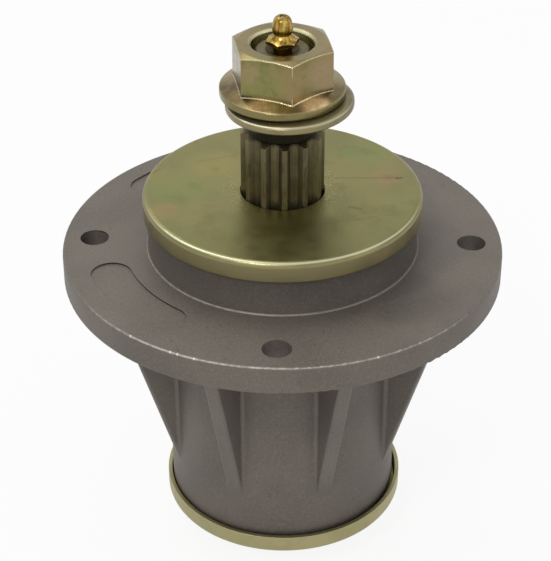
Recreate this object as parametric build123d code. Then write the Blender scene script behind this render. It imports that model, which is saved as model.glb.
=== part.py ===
from build123d import *
import os
from math import asin, cos, degrees, pi, radians, sin, sqrt, tan

# Mower deck spindle, in millimetres and degrees.
# The origin is the centre of the flange's top face, which bolts up against the deck.
# +Z runs up the spindle towards the pulley nut and the grease fitting.

# Housing casting
flange_r = 73.8
flange_thickness = 9.8
flange_edge_round = 0.8
bolt_edge = 10.3
bolt_hole_r = 4.85
bolt_count = 4
pocket_inset = 3.7
pocket_half_width = 6.8
pocket_depth = 0.6
pocket_sweep = 31.5
pocket_middles = (127.7, 217.6)
neck_r = 45.3
neck_draft = 3.5
neck_top_round = 1.0
neck_foot = 0.5
barrel_r = 39.6
barrel_bottom = -98.5
barrel_end_round = 2.0
rib_count = 8
rib_first_angle = 22.5
rib_reach = 60.9
rib_foot = -80.5
rib_edge_width = 4.9
rib_root_width = 5.6
rib_edge_round = 0.9
rib_root_round = 1.5
cup_shoulder = 3.6
cup_fit = 0.02

# Tapered roller bearings, one at each end of the barrel
bearing_bore_r = 15.875
bearing_section = 13.69
cup_width = 11.811
cone_width = 16.764
bearing_width = 15.875
upper_bearing_top = 8.0
cone_wall_share = 0.199
cup_wall_share = 0.301
roller_tilt = 12.6
roller_middle = 6.7
roller_length = 10.9
roller_gap = 1.4
small_rib_height = 0.95
large_rib_height = 1.55
race_clearance = 0.03
rib_clearance = 0.06
cage_sheet = 1.0
cage_race_gap = 1.44
cage_clearance = 0.15
cage_band = 1.4
cage_lip = 1.5

# Seals, garter springs and the wear sleeves that they run on
seal_width = 8.0
seal_setback = 0.5
seal_sheet = 1.0
seal_flange_gap = 3.55
sleeve_wall = 3.175
sleeve_clearance = 0.24
lip_clearance = 0.03
lip_head = 2.25
lip_head_low = 2.6
lip_head_high = 5.0
lip_web = 1.1
garter_r = 0.7

# Shaft
journal_clearance = 0.01
journal_setback = 1.2
journal_chamfer = 0.6
hub_r = 23.0
hub_height = 12.3
hub_chamfer = 1.2
spline_teeth = 12
spline_major_r = 13.76
spline_depth = 2.3
spline_floor_rise = 0.35
spline_top_land = 6.8
spline_floor_land = 13.0
spline_first_tooth = 4.7
spline_top = 43.1
spline_bevel = 1.4
neck_below_thread_r = 11.0
neck_below_thread = 5.8
thread_r = 10.0
thread_length = 22.6
thread_chamfer = 1.7
gallery_r = 2.4
cross_hole_r = 2.0
fitting_bore_spare = 4.0
fitting_countersink_r = 5.6
blade_bore_r = 7.25
blade_bore_depth = 35.0
blade_bore_chamfer = 0.8
spacer_wall = 2.8
spacer_clearance = 0.325
spacer_hole_r = 3.0

# Pressed sheet shields above and below the housing
shield_sheet = 1.4
shield_bend = 1.8
shield_clearance = 0.8
top_shield_gap = 2.1
top_shield_rim = 6.8
top_shield_bore_clearance = 0.29
bottom_shield_gap = 1.8
bottom_shield_rim = 6.65
bottom_shield_shift = 0.4
bottom_shield_bore_clearance = 0.1

# Loose washer held on the nut's collar, pushed to one side and tilted up against the flange
washer_r = 20.85
washer_bore_r = 14.3
washer_thickness = 2.75
washer_edge_round = 0.45
washer_tilt = 2.1
washer_push_angle = -43.0
washer_side_gap = 0.1
washer_rest_gap = 0.15

# Hexagon flange nut, with a collar and lip under the flange that hold the washer
nut_flats = 29.7
nut_flange_r = 20.4
nut_lift = 12.8
nut_rim = 2.6
nut_rim_round = 0.4
nut_skirt_top = 4.5
nut_skirt_inset = 0.45
nut_height = 17.9
nut_top_inset = 0.55
nut_corner_angle = 41.8
nut_corner_cut = 18.0
nut_countersink = 0.85
nut_collar_r = 11.0
nut_lip_overlap = 0.5
nut_lip_height = 0.9
thread_clearance = 0.05

# Grease fitting with its check ball and spring
fitting_thread_r = 3.1
fitting_shank = 6.4
fitting_lift = 2.1
fitting_hex_flats = 9.5
fitting_hex_height = 1.3
fitting_corner_angle = 14.6
fitting_corner_cut = 30.0
fitting_neck_r = 2.95
fitting_neck_height = 3.2
fitting_head_r = 3.38
fitting_head_height = 5.5
fitting_dome_r = 3.0
fitting_dome_height = 7.1
fitting_top_r = 1.6
fitting_height = 9.1
fitting_mouth_r = 1.0
fitting_mouth_depth = 0.6
fitting_chamber_r = 1.6
fitting_chamber_floor = 1.6
fitting_outlet_r = 0.8
ball_r = 1.45
ball_clearance = 0.01
spring_wire_r = 0.16
spring_r = 1.1
spring_turns = 5

# Heights that follow from the sizes above
upper_cup_bottom = upper_bearing_top - bearing_width
upper_seal_bottom = upper_bearing_top + seal_setback
neck_top = upper_seal_bottom + seal_width
lower_seal_top = barrel_bottom + seal_width
lower_bearing_end = lower_seal_top + seal_setback
lower_cup_top = lower_bearing_end + bearing_width
cone_overhang = cone_width - bearing_width
top_shield_underside = neck_top + top_shield_gap
top_shield_top = top_shield_underside + shield_sheet
bottom_shield_floor = barrel_bottom - bottom_shield_gap
bottom_shield_bottom = bottom_shield_floor - shield_sheet
hub_bottom = bottom_shield_bottom - hub_height
journal_top = upper_bearing_top - journal_setback
gallery_end = (upper_cup_bottom + lower_cup_top) / 2
thread_bottom = spline_top + neck_below_thread
shaft_top = thread_bottom + thread_length
nut_bottom = spline_top + nut_lift
fitting_bottom = shaft_top + fitting_lift

# Radii that follow from the sizes above
bolt_circle_r = flange_r - bolt_edge
pocket_circle_r = bolt_circle_r - pocket_inset
cup_r = bearing_bore_r + bearing_section
sleeve_r = bearing_bore_r + sleeve_wall
spacer_bore_r = bearing_bore_r + spacer_clearance
spacer_r = spacer_bore_r + spacer_wall
spline_floor_r = spline_major_r - spline_depth
neck_top_r = neck_r - neck_top * tan(radians(neck_draft))
seal_bore_r = cup_r + cup_fit
cavity_r = cup_r - cup_shoulder
journal_r = bearing_bore_r - journal_clearance
lip_head_r = sleeve_r + lip_head
seal_flange_bore_r = sleeve_r + seal_flange_gap
top_shield_r = neck_top_r + shield_clearance + shield_sheet
bottom_shield_r = barrel_r + shield_clearance + shield_sheet
nut_bore_r = thread_r + thread_clearance

# The washer's place under the nut's flange, and the nut's lip under the washer
washer_lean = radians(washer_tilt)
washer_push = washer_bore_r - nut_collar_r - washer_side_gap
washer_x = washer_push * cos(radians(washer_push_angle))
washer_y = washer_push * sin(radians(washer_push_angle))
washer_half = washer_thickness / 2 / cos(washer_lean)
washer_middle = (nut_bottom - washer_rest_gap - washer_half
                 - (nut_flange_r - washer_x) * tan(washer_lean))
nut_lip_r = washer_bore_r + nut_lip_overlap
lip_top = (washer_middle - washer_half - washer_rest_gap
           - (nut_lip_r + washer_x) * tan(washer_lean))

# Raceways and rollers: four cones with one common apex on the spindle's axis
inner_race_r = bearing_bore_r + bearing_section * cone_wall_share
outer_race_r = cup_r - bearing_section * cup_wall_share
tilt = radians(roller_tilt)
race_share = (outer_race_r - inner_race_r) / (outer_race_r + inner_race_r)
taper = asin(sin(2 * tilt) * race_share) / 2
apex_drop = outer_race_r / tan(tilt + taper)
pitch_r = apex_drop * tan(tilt)
roller_r = pitch_r / sin(tilt) * tan(taper)
roller_count = int(2 * pi * pitch_r / (2 * roller_r + roller_gap))
cage_offset = roller_r - cage_race_gap - cage_sheet


def turned(*outline):
    """Turn a closed outline of (radius, height) points about the spindle axis."""
    return revolve(Plane.XZ * make_face(Polyline(*outline, close=True)), axis=Axis.Z)


def drum(radius, low, high):
    """A plain cylinder on the spindle axis between two heights."""
    return Pos(0, 0, low) * extrude(Circle(radius), amount=high - low)


def edges_near(shape, radius, height):
    """The circular edges of a shape with this radius at this height."""
    circles = shape.edges().filter_by(GeomType.CIRCLE)
    return [edge for edge in circles
            if abs(edge.radius - radius) < 0.02 and abs(edge.center().Z - height) < 0.02]


def one_rib(angle):
    """One tapered gusset between the barrel and the underside of the flange."""
    root_r = barrel_r - rib_root_width / 2
    top = -flange_thickness / 2
    slope = (rib_reach - barrel_r) / (-flange_thickness - rib_foot)
    tip = rib_foot - (barrel_r - root_r) / slope
    plan = Polygon(
        (root_r, rib_root_width / 2), (root_r, -rib_root_width / 2),
        (rib_reach, -rib_edge_width / 2), (rib_reach, rib_edge_width / 2),
        align=None,
    )
    side = make_face(Polyline(
        (root_r, top), (rib_reach, top), (rib_reach, -flange_thickness), (root_r, tip), close=True,
    ))
    web = Pos(0, 0, tip) * extrude(plan, amount=top - tip)
    rib = web & extrude(Plane.XZ * side, amount=rib_root_width, both=True)
    slanted = [edge for edge in rib.edges()
               if edge.center().X > barrel_r and edge.length > flange_thickness
               and edge.center().Z < -flange_thickness]
    return Rot(0, 0, angle) * fillet(slanted, rib_edge_round)


def rib_root_edges(body):
    """The straight edges where the gussets' sides meet the barrel."""
    return [edge for edge in body.edges().filter_by(GeomType.LINE)
            if edge.length > flange_thickness and edge.center().Z < -flange_thickness
            and edge.center().Z > rib_foot
            and abs(sqrt(edge.center().X ** 2 + edge.center().Y ** 2) - barrel_r) < 0.1]


def kidney_pocket(middle):
    """The cutter of one shallow curved recess in the top of the flange."""
    centre_line = CenterArc((0, 0), pocket_circle_r, middle - pocket_sweep / 2, pocket_sweep)
    slot = SlotArc(centre_line, 2 * pocket_half_width)
    return Pos(0, 0, -pocket_depth) * extrude(slot, amount=pocket_depth + 1)


def housing():
    """The casting: flange, neck, barrel and gussets, bored through for the bearings."""
    inside = -flange_thickness / 2
    disc = drum(flange_r, -flange_thickness, 0)
    rims = edges_near(disc, flange_r, 0) + edges_near(disc, flange_r, -flange_thickness)
    disc = fillet(rims, flange_edge_round)
    neck = turned((0, inside), (neck_r + neck_foot, inside), (neck_r + neck_foot, 0),
                  (neck_r, neck_foot), (neck_top_r, neck_top), (0, neck_top))
    neck = fillet(edges_near(neck, neck_top_r, neck_top), neck_top_round)
    barrel = drum(barrel_r, barrel_bottom, inside)
    barrel = fillet(edges_near(barrel, barrel_r, barrel_bottom), barrel_end_round)
    body = disc + neck + barrel
    for index in range(rib_count):
        body += one_rib(rib_first_angle + index * 360 / rib_count)
    body = fillet(rib_root_edges(body), rib_root_round)
    for index in range(bolt_count):
        hole = Pos(bolt_circle_r, 0, 0) * drum(bolt_hole_r, -flange_thickness - 1, 1)
        body -= Rot(0, 0, index * 360 / bolt_count) * hole
    for middle in pocket_middles:
        body -= kidney_pocket(middle)
    body -= drum(cavity_r, barrel_bottom - 1, neck_top + 1)
    body -= drum(seal_bore_r, upper_cup_bottom, neck_top + 1)
    body -= drum(seal_bore_r, barrel_bottom - 1, lower_cup_top)
    return body


def on_roller(along, outward):
    """The (radius, height) of a point given along and square to a roller's axis."""
    return (pitch_r + along * sin(tilt) + outward * cos(tilt),
            roller_middle + along * cos(tilt) - outward * sin(tilt))


def roller_r_at(along):
    """A roller's radius at this distance from its middle towards the large end."""
    return roller_r + along * tan(taper)


def race_r(height, lean):
    """The radius at this height of the raceway whose side leans by this angle."""
    return (height - roller_middle + apex_drop) * tan(lean)


def bearing_cup():
    """The outer ring, its thick end at height 0."""
    lean = tilt + taper
    return turned((cup_r, 0), (cup_r, cup_width), (race_r(cup_width, lean), cup_width),
                  (race_r(0, lean), 0))


def bearing_cone():
    """The inner ring, with a low rib at the rollers' small end and a high one at the large."""
    lean = tilt - taper
    half = roller_length / 2
    small_end = on_roller(-half - rib_clearance, -roller_r_at(-half))[1]
    large_end = on_roller(half + rib_clearance, -roller_r_at(half))[1]
    small_race_r = race_r(small_end, lean)
    large_race_r = race_r(large_end, lean)
    small_rib_r = small_race_r + small_rib_height
    large_rib_r = large_race_r + large_rib_height
    return turned(
        (bearing_bore_r, -cone_overhang), (small_rib_r, -cone_overhang),
        (small_rib_r, small_end - small_rib_height * tan(tilt)), (small_race_r, small_end),
        (large_race_r, large_end), (large_rib_r, large_end - large_rib_height * tan(tilt)),
        (large_rib_r, bearing_width), (bearing_bore_r, bearing_width),
    )


def roller_place():
    """The frame of the first roller: Z along its axis towards the large end."""
    return Pos(pitch_r, 0, roller_middle) * Rot(0, roller_tilt, 0)


def bearing_rollers():
    """The tapered rollers of one bearing, evenly spaced, as separate solids."""
    half = roller_length / 2
    small_r = roller_r_at(-half) - race_clearance
    large_r = roller_r_at(half) - race_clearance
    roller = turned((0, -half), (small_r, -half), (large_r, half), (0, half))
    first = roller_place() * roller.solid()
    return Compound([Rot(0, 0, index * 360 / roller_count) * first
                     for index in range(roller_count)])


def bearing_cage():
    """The pressed cage: a sheet cone with a window for each roller and a turned-in lip."""
    end = roller_length / 2 + cage_clearance
    low = -end - cage_band
    high = end + cage_band
    inner = cage_offset
    outer = inner + cage_sheet
    fold = low + cage_sheet
    cage = turned(on_roller(low, outer), on_roller(high, outer), on_roller(high, inner),
                  on_roller(fold, inner), on_roller(fold, inner - cage_lip),
                  on_roller(low, inner - cage_lip))
    low_half = sqrt(roller_r_at(-end) ** 2 - inner ** 2) + cage_clearance
    high_half = sqrt(roller_r_at(end) ** 2 - inner ** 2) + cage_clearance
    opening = Polygon((-low_half, -end), (low_half, -end), (high_half, end), (-high_half, end),
                      align=None)
    window = roller_place() * extrude(Plane.YZ * opening, amount=outer + 1)
    for index in range(roller_count):
        cage -= Rot(0, 0, index * 360 / roller_count) * window
    return cage


def seal_case():
    """The pressed steel ring of a seal, its open end at height 0."""
    root = seal_width - seal_sheet
    return turned((cup_r, 0), (cup_r, seal_width), (seal_flange_bore_r, seal_width),
                  (seal_flange_bore_r, root), (cup_r - seal_sheet, root), (cup_r - seal_sheet, 0))


def seal_lip():
    """The rubber bonded to the case's flange, with a sealing edge and a dust edge."""
    edge_r = sleeve_r + lip_clearance
    root = seal_width - seal_sheet
    middle = (lip_head_low + lip_head_high) / 2
    return turned(
        (lip_head_r, lip_head_low), (lip_head_r, root - lip_web),
        (seal_flange_bore_r + lip_web, root - lip_web), (seal_flange_bore_r + lip_web, root),
        (seal_flange_bore_r, root), (seal_flange_bore_r, seal_width), (edge_r, seal_width),
        (lip_head_r - lip_web, root - lip_web), (lip_head_r - lip_web, lip_head_high),
        (edge_r, middle), (lip_head_r - lip_web, lip_head_low),
    )


def seal_spring():
    """The garter spring round the lip, as the ring that its fine coils fill."""
    centre = (lip_head_r + garter_r + lip_clearance, (lip_head_low + lip_head_high) / 2)
    return revolve(Plane.XZ * (Pos(*centre) * RegularPolygon(garter_r, 6)), axis=Axis.Z)


def wear_sleeve(bore_r, low, high):
    """A hard ring that a seal lip runs on, clamped between a cone and a shield."""
    return drum(sleeve_r, low, high) - drum(bore_r, low, high)


def spline_valley():
    """The cutter of one gap between two spline teeth, centred on the X axis."""
    step = 360 / spline_teeth
    tip_angle = radians((step - spline_top_land) / 2)
    corner_angle = radians(spline_floor_land / 2)
    corner_r = spline_floor_r + spline_floor_rise
    tip = (spline_major_r * cos(tip_angle), spline_major_r * sin(tip_angle))
    corner = (corner_r * cos(corner_angle), corner_r * sin(corner_angle))
    clear = (spline_major_r * 1.1, tip[1])
    side = Polyline(clear, tip, corner)
    floor = ThreePointArc(corner, (spline_floor_r, 0), (corner[0], -corner[1]))
    section = make_face(side + floor + mirror(side, Plane.XZ) + Line((clear[0], -clear[1]), clear))
    return Pos(0, 0, journal_top) * extrude(section, amount=spline_top - journal_top + 1)


def grease_cross_hole(radius, reach):
    """The cutter of a hole right across, halfway between the bearings."""
    return Pos(0, 0, gallery_end) * Rot(0, 90, 0) * Cylinder(radius, 2 * reach + 2)


def spindle_shaft():
    """The shaft: blade hub, bearing journal, spline, neck, thread and grease gallery."""
    hub = drum(hub_r, hub_bottom, bottom_shield_bottom)
    hub = chamfer(edges_near(hub, hub_r, hub_bottom), hub_chamfer)
    journal = drum(journal_r, bottom_shield_bottom, journal_top)
    journal = chamfer(edges_near(journal, journal_r, journal_top), journal_chamfer)
    splined = turned((0, journal_top), (spline_major_r, journal_top),
                     (spline_major_r, spline_top - spline_bevel),
                     (neck_below_thread_r, spline_top), (0, spline_top))
    step = 360 / spline_teeth
    for index in range(spline_teeth):
        splined -= Rot(0, 0, spline_first_tooth + (index + 0.5) * step) * spline_valley()
    neck = drum(neck_below_thread_r, spline_top, thread_bottom)
    threaded = drum(thread_r, thread_bottom, shaft_top)
    threaded = chamfer(edges_near(threaded, thread_r, shaft_top), thread_chamfer)
    shaft = hub + journal + splined + neck + threaded
    fitting_bore_bottom = fitting_bottom - fitting_shank - fitting_bore_spare
    shaft -= drum(gallery_r, gallery_end, shaft_top + 1)
    shaft -= drum(fitting_thread_r + thread_clearance, fitting_bore_bottom, shaft_top + 1)
    shaft -= turned((0, shaft_top - fitting_countersink_r), (fitting_countersink_r, shaft_top),
                    (fitting_countersink_r, shaft_top + 1), (0, shaft_top + 1))
    shaft -= grease_cross_hole(cross_hole_r, journal_r)
    mouth_r = blade_bore_r + blade_bore_chamfer
    shaft -= turned((0, hub_bottom - 1), (mouth_r, hub_bottom - 1), (mouth_r, hub_bottom),
                    (blade_bore_r, hub_bottom + blade_bore_chamfer),
                    (blade_bore_r, hub_bottom + blade_bore_depth), (0, hub_bottom + blade_bore_depth))
    return shaft


def bearing_spacer():
    """The tube that holds the two cones apart, with a grease hole on each side."""
    low = lower_cup_top + cone_overhang
    high = upper_cup_bottom - cone_overhang
    tube = drum(spacer_r, low, high) - drum(spacer_bore_r, low, high)
    return tube - grease_cross_hole(spacer_hole_r, spacer_r)


def pressed_shield(outer_r, rim, bore_r):
    """A round pressed cup with its outer face at height 0 and its rim upwards."""
    sheet = shield_sheet
    outline = make_face(Polyline(
        (bore_r, 0), (outer_r, 0), (outer_r, rim), (outer_r - sheet, rim),
        (outer_r - sheet, sheet), (bore_r, sheet), close=True,
    ))
    outline = fillet(outline.vertices().sort_by_distance((outer_r, 0))[0], shield_bend)
    inner_corner = outline.vertices().sort_by_distance((outer_r - sheet, sheet))[0]
    outline = fillet(inner_corner, max(shield_bend - sheet, sheet / 10))
    return revolve(Plane.XZ * outline, axis=Axis.Z)


def top_shield():
    """The cup over the neck, open side down."""
    cup = pressed_shield(top_shield_r, top_shield_rim, spline_major_r + top_shield_bore_clearance)
    return Pos(0, 0, top_shield_top) * Rot(180, 0, 0) * cup


def bottom_shield():
    """The cup round the end of the barrel, pushed to one side as far as its hole lets it."""
    bore_r = journal_r + bottom_shield_shift + bottom_shield_bore_clearance
    cup = pressed_shield(bottom_shield_r, bottom_shield_rim, bore_r)
    return Pos(bottom_shield_shift, 0, bottom_shield_bottom) * cup


def pulley_washer():
    """The thick washer, off centre on the nut's collar and tilted up against the flange."""
    half = washer_thickness / 2
    ring = drum(washer_r, -half, half)
    rims = edges_near(ring, washer_r, half) + edges_near(ring, washer_r, -half)
    ring = fillet(rims, washer_edge_round) - drum(washer_bore_r, -half, half)
    return Pos(washer_x, washer_y, washer_middle) * Rot(0, -washer_tilt, 0) * ring


def hexagon_block(flats, height, top_r, corner_angle, corner_cut):
    """A hexagon standing on height 0 whose top corners are cut back by a flat cone."""
    corner_r = flats / 2 / cos(radians(30))
    reach = corner_r + 1
    drop = (reach - top_r) * tan(radians(corner_cut))
    block = Rot(0, 0, corner_angle) * extrude(RegularPolygon(corner_r, 6), amount=height)
    return block & turned((0, 0), (reach, 0), (reach, height - drop), (top_r, height), (0, height))


def pulley_nut():
    """The hexagon nut with its round flange, sloping skirt, and collar and lip below."""
    flat_r = nut_flats / 2
    sink_r = thread_r + nut_countersink
    lip = lip_top - nut_bottom
    low = lip - nut_lip_height
    nut = hexagon_block(nut_flats, nut_height, flat_r - nut_top_inset, nut_corner_angle,
                        nut_corner_cut)
    flange = turned((0, 0), (nut_flange_r, 0), (nut_flange_r, nut_rim),
                    (flat_r - nut_skirt_inset, nut_skirt_top), (0, nut_skirt_top))
    rims = edges_near(flange, nut_flange_r, 0) + edges_near(flange, nut_flange_r, nut_rim)
    nut += fillet(rims, nut_rim_round)
    nut += drum(nut_collar_r, lip, 0) + drum(nut_lip_r, low, lip)
    nut -= turned((0, low - 1), (sink_r, low - 1), (sink_r, low), (nut_bore_r, low + sink_r - nut_bore_r),
                  (nut_bore_r, nut_height - sink_r + nut_bore_r), (sink_r, nut_height),
                  (sink_r, nut_height + 1), (0, nut_height + 1))
    return Pos(0, 0, nut_bottom) * nut


def grease_fitting():
    """The brass fitting: shank, hexagon, waisted neck and domed head, bored through."""
    base = (fitting_hex_flats / 2 - 0.1, fitting_hex_height)
    neck = (fitting_neck_r, fitting_neck_height)
    waist = ((base[0] + 2 * neck[0]) / 3, (base[1] + neck[1]) / 2)
    head = (fitting_head_r, fitting_head_height)
    dome = (fitting_dome_r, fitting_dome_height)
    crown = (fitting_top_r, fitting_height)
    brow = ((dome[0] + crown[0]) / 2 + 0.3, (dome[1] + crown[1]) / 2 + 0.2)
    outline = (
        Polyline(crown, (0, fitting_height), (0, -fitting_shank), (fitting_thread_r, -fitting_shank),
                 (fitting_thread_r, 0), (base[0], 0), base)
        + ThreePointArc(base, waist, neck) + ThreePointArc(neck, head, dome)
        + ThreePointArc(dome, brow, crown)
    )
    fitting = revolve(Plane.XZ * make_face(outline), axis=Axis.Z)
    fitting += hexagon_block(fitting_hex_flats, fitting_hex_height, fitting_hex_flats / 2,
                             fitting_corner_angle, fitting_corner_cut)
    seat_top = fitting_height - fitting_mouth_depth
    seat_low = seat_top - (fitting_chamber_r - fitting_mouth_r)
    fitting -= turned(
        (0, -fitting_shank - 1), (fitting_outlet_r, -fitting_shank - 1),
        (fitting_outlet_r, fitting_chamber_floor), (fitting_chamber_r, fitting_chamber_floor),
        (fitting_chamber_r, seat_low), (fitting_mouth_r, seat_top),
        (fitting_mouth_r, fitting_height + 1), (0, fitting_height + 1),
    )
    return Pos(0, 0, fitting_bottom) * fitting


def ball_height():
    """The height of the ball's centre when it closes on its 45 degree seat."""
    seat_top = fitting_bottom + fitting_height - fitting_mouth_depth
    return seat_top + fitting_mouth_r - (ball_r + ball_clearance) * sqrt(2)


def grease_fitting_ball():
    """The check ball, up against its seat."""
    return Pos(0, 0, ball_height()) * Sphere(ball_r)


def grease_fitting_spring():
    """The coil spring between the chamber's floor and the ball."""
    low = fitting_bottom + fitting_chamber_floor + spring_wire_r + ball_clearance
    reach = ball_r + ball_clearance + spring_wire_r
    height = ball_height() - sqrt(reach ** 2 - spring_r ** 2) - low
    coil = Helix(height / spring_turns, height, spring_r)
    wire = Plane(origin=coil @ 0, z_dir=coil % 0) * RegularPolygon(spring_wire_r, 4)
    return Pos(0, 0, low) * sweep(wire, path=coil)


def write(name, shape):
    """Save one piece under its own name."""
    export_step(shape, "parts/" + name + ".step")


def main():
    """Build every piece in its place and write it out."""
    os.makedirs("parts", exist_ok=True)
    turned_over = Rot(180, 0, 0)
    ends = (
        ("upper", Pos(0, 0, upper_cup_bottom), Pos(0, 0, upper_seal_bottom)),
        ("lower", Pos(0, 0, lower_cup_top) * turned_over, Pos(0, 0, lower_seal_top) * turned_over),
    )
    write("housing", housing())
    for end, bearing, seal in ends:
        write(end + "_bearing_cup", bearing * bearing_cup())
        write(end + "_bearing_cone", bearing * bearing_cone())
        write(end + "_bearing_rollers", bearing * bearing_rollers())
        write(end + "_bearing_cage", bearing * bearing_cage())
        write(end + "_seal_case", seal * seal_case())
        write(end + "_seal_lip", seal * seal_lip())
        write(end + "_seal_spring", seal * seal_spring())
    write("spindle_shaft", spindle_shaft())
    write("bearing_spacer", bearing_spacer())
    write("upper_wear_sleeve",
          wear_sleeve(spline_major_r + sleeve_clearance, upper_bearing_top, top_shield_underside))
    write("lower_wear_sleeve", wear_sleeve(bearing_bore_r, bottom_shield_floor, lower_bearing_end))
    write("top_shield", top_shield())
    write("bottom_shield", bottom_shield())
    write("pulley_washer", pulley_washer())
    write("pulley_nut", pulley_nut())
    write("grease_fitting", grease_fitting())
    write("grease_fitting_ball", grease_fitting_ball())
    write("grease_fitting_spring", grease_fitting_spring())


main()
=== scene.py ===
import logging
import math
from abc import ABC, abstractmethod
from dataclasses import dataclass
from enum import Enum
from functools import partial, reduce
from typing import Any

import bpy
from mathutils import Matrix, Vector


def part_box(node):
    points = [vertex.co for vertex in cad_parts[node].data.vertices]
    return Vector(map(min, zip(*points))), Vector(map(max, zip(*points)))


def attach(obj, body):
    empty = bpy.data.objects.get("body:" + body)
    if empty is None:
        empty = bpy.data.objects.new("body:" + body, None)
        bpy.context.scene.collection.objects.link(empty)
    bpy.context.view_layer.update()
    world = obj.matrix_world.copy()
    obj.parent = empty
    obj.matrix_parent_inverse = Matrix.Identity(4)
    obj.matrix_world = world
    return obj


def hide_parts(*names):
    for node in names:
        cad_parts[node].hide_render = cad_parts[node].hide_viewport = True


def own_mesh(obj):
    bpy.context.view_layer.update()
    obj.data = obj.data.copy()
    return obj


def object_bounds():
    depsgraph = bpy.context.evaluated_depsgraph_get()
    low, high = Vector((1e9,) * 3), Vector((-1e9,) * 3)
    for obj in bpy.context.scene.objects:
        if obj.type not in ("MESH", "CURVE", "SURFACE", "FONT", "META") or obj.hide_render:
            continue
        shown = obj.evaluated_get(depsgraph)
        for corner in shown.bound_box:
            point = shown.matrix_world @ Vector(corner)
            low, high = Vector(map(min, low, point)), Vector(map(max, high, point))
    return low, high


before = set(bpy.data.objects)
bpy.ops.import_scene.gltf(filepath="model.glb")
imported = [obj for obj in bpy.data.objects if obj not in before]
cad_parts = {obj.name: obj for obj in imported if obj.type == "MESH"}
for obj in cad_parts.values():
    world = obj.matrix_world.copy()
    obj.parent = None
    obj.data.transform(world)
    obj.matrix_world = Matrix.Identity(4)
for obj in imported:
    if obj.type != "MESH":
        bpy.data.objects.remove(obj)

CAD_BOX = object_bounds()
MM = 0.001
FLOOR_GAP = 0.05 * MM
MERGE_REACH = 0.001 * MM
LOG = logging.getLogger("mower_spindle")

Socket = bpy.types.NodeSocket
Piece = bpy.types.Object
Finish = bpy.types.Material
Color = tuple[float, float, float, float]
Point = tuple[float, float, float]
Pair = tuple[float, float]


class Body(str, Enum):
    """The rigid body of the spindle that new pieces ride on."""

    SPINDLE = "spindle"


class Slot(str, Enum):
    """The record's material slots, one named with each new piece; nothing here reads them."""

    ZINC = "zinc_plate"
    DARK_STEEL = "dark_steel"
    BEARING_STEEL = "bearing_steel"
    BRASS = "brass"


class ThreadSide(Enum):
    """Which way a screw thread's crest points."""

    OUTWARD = 1
    INWARD = -1


def tint(red: float, green: float, blue: float) -> Color:
    """Turns a display colour of 0 to 255 into the linear colour that a shader takes.

    Args:
        red: Red on the display scale.
        green: Green on the display scale.
        blue: Blue on the display scale.

    Returns:
        The linear red, green and blue, and an alpha of 1.
    """
    def linear(channel: float) -> float:
        """One channel on the linear scale."""
        share = channel / 255
        return share / 12.92 if share <= 0.04045 else ((share + 0.055) / 1.055) ** 2.4

    return linear(red), linear(green), linear(blue), 1.0


@dataclass(frozen=True)
class Ramp:
    """A smooth change from start to end while a value goes from low to high."""

    low: float
    high: float
    start: float = 0.0
    end: float = 1.0

    def at(self, level: float) -> "Ramp":
        """The same change, with low and high counted from a level."""
        return Ramp(level + self.low, level + self.high, self.start, self.end)

    def times(self, share: float) -> "Ramp":
        """The same change, with start and end cut to a share."""
        return Ramp(self.low, self.high, self.start * share, self.end * share)

    def above(self, base: float) -> "Ramp":
        """The same change, with start and end counted from a base."""
        return Ramp(self.low, self.high, base + self.start, base + self.end)


@dataclass(frozen=True)
class Grain:
    """A noise pattern around 0.5 with this many cycles per millimetre."""

    per_mm: float
    detail: float = 2.0
    rough: float = 0.5
    stretch: Point = (1.0, 1.0, 1.0)
    offset: float = 0.0


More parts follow.
